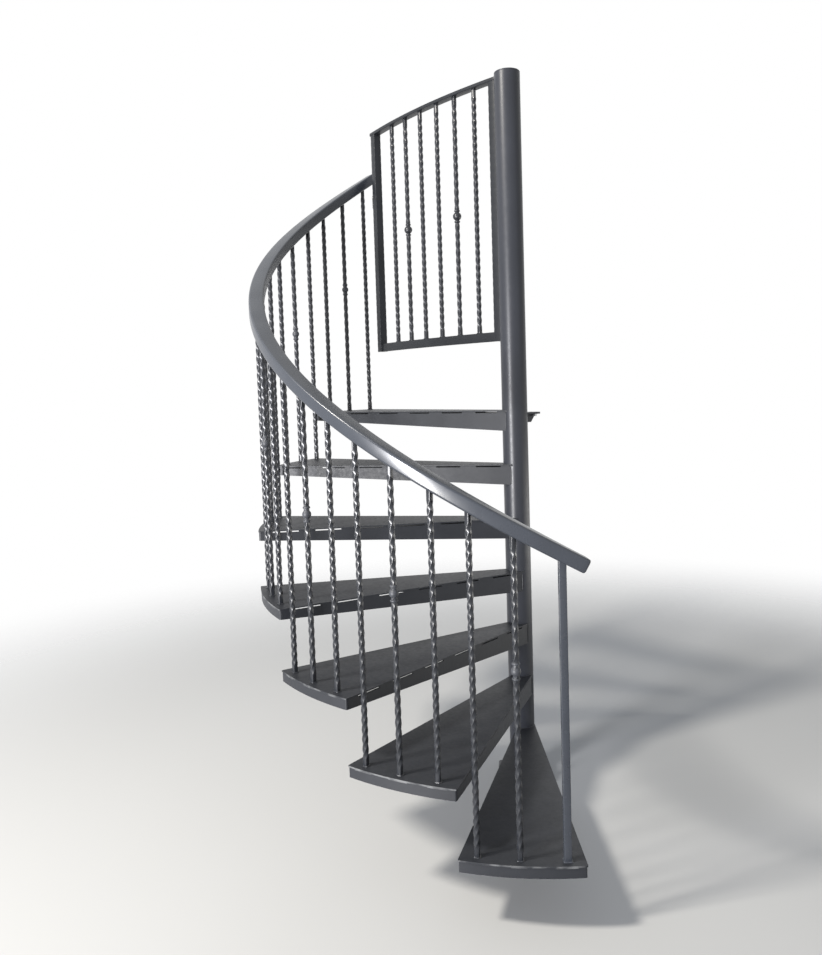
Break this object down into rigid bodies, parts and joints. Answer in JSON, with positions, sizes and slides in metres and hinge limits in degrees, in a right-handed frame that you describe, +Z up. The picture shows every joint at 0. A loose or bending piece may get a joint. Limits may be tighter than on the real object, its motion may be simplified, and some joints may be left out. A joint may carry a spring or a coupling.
{
  "type": "spiral staircase",
  "caption": "Black steel spiral staircase with wedge-shaped treads, twisted balusters, a helical handrail and a bowed gate at the top.",
  "frame": {"origin": "centre of the base plate's underside, on the column's axis", "axes": "+Z up along the column; -Y is the direction in which the lowest tread points"},
  "size_m": [1.2429, 1.8127, 2.836],
  "materials": {
    "column_paint": "satin powder coat",
    "tread_paint": "satin powder coat",
    "bar_paint": "satin powder coat",
    "rail_paint": "satin powder coat",
    "latch_steel": "zinc plated"
  },
  "bodies": {
    "stair": {"base_plate": "column_paint", "center_column": "column_paint", "column_cap": "column_paint", "newel_post": "bar_paint", "handrail": "rail_paint", "handrail_lower_cap": "rail_paint", "handrail_upper_cap": "rail_paint", "deck_bracket": "column_paint", "lower_hinge_lug": "column_paint", "upper_hinge_lug": "column_paint", "tread_1_plate": "tread_paint", "tread_1_front_bar": "tread_paint", "tread_1_back_bar": "tread_paint", "tread_1_rim": "tread_paint", "tread_1_balusters": "bar_paint", "tread_2_plate": "tread_paint", "tread_2_front_bar": "tread_paint", "tread_2_back_bar": "tread_paint", "tread_2_rim": "tread_paint", "tread_2_balusters": "bar_paint", "tread_3_plate": "tread_paint", "tread_3_front_bar": "tread_paint", "tread_3_back_bar": "tread_paint", "tread_3_rim": "tread_paint", "tread_3_balusters": "bar_paint", "tread_4_plate": "tread_paint", "tread_4_front_bar": "tread_paint", "tread_4_back_bar": "tread_paint", "tread_4_rim": "tread_paint", "tread_4_balusters": "bar_paint", "tread_5_plate": "tread_paint", "tread_5_front_bar": "tread_paint", "tread_5_back_bar": "tread_paint", "tread_5_rim": "tread_paint", "tread_5_balusters": "bar_paint", "tread_6_plate": "tread_paint", "tread_6_front_bar": "tread_paint", "tread_6_back_bar": "tread_paint", "tread_6_rim": "tread_paint", "tread_6_balusters": "bar_paint", "tread_7_plate": "tread_paint", "tread_7_front_bar": "tread_paint", "tread_7_back_bar": "tread_paint", "tread_7_rim": "tread_paint", "tread_7_balusters": "bar_paint"},
    "gate": {"gate_top_rail": "bar_paint", "gate_bottom_rail": "bar_paint", "gate_hinge_stile": "bar_paint", "gate_latch_stile": "bar_paint", "gate_balusters": "bar_paint", "gate_latch": "latch_steel", "lower_hinge_leaf": "bar_paint", "upper_hinge_leaf": "bar_paint"}
  },
  "joints": [
    {"name": "gate_swing", "type": "hinge", "parent": "stair", "child": "gate", "pos_m": [-0.02005, 0.06858, 1.948], "axis": [0, 0, -1], "range_deg": [0, 90]}
  ]
}
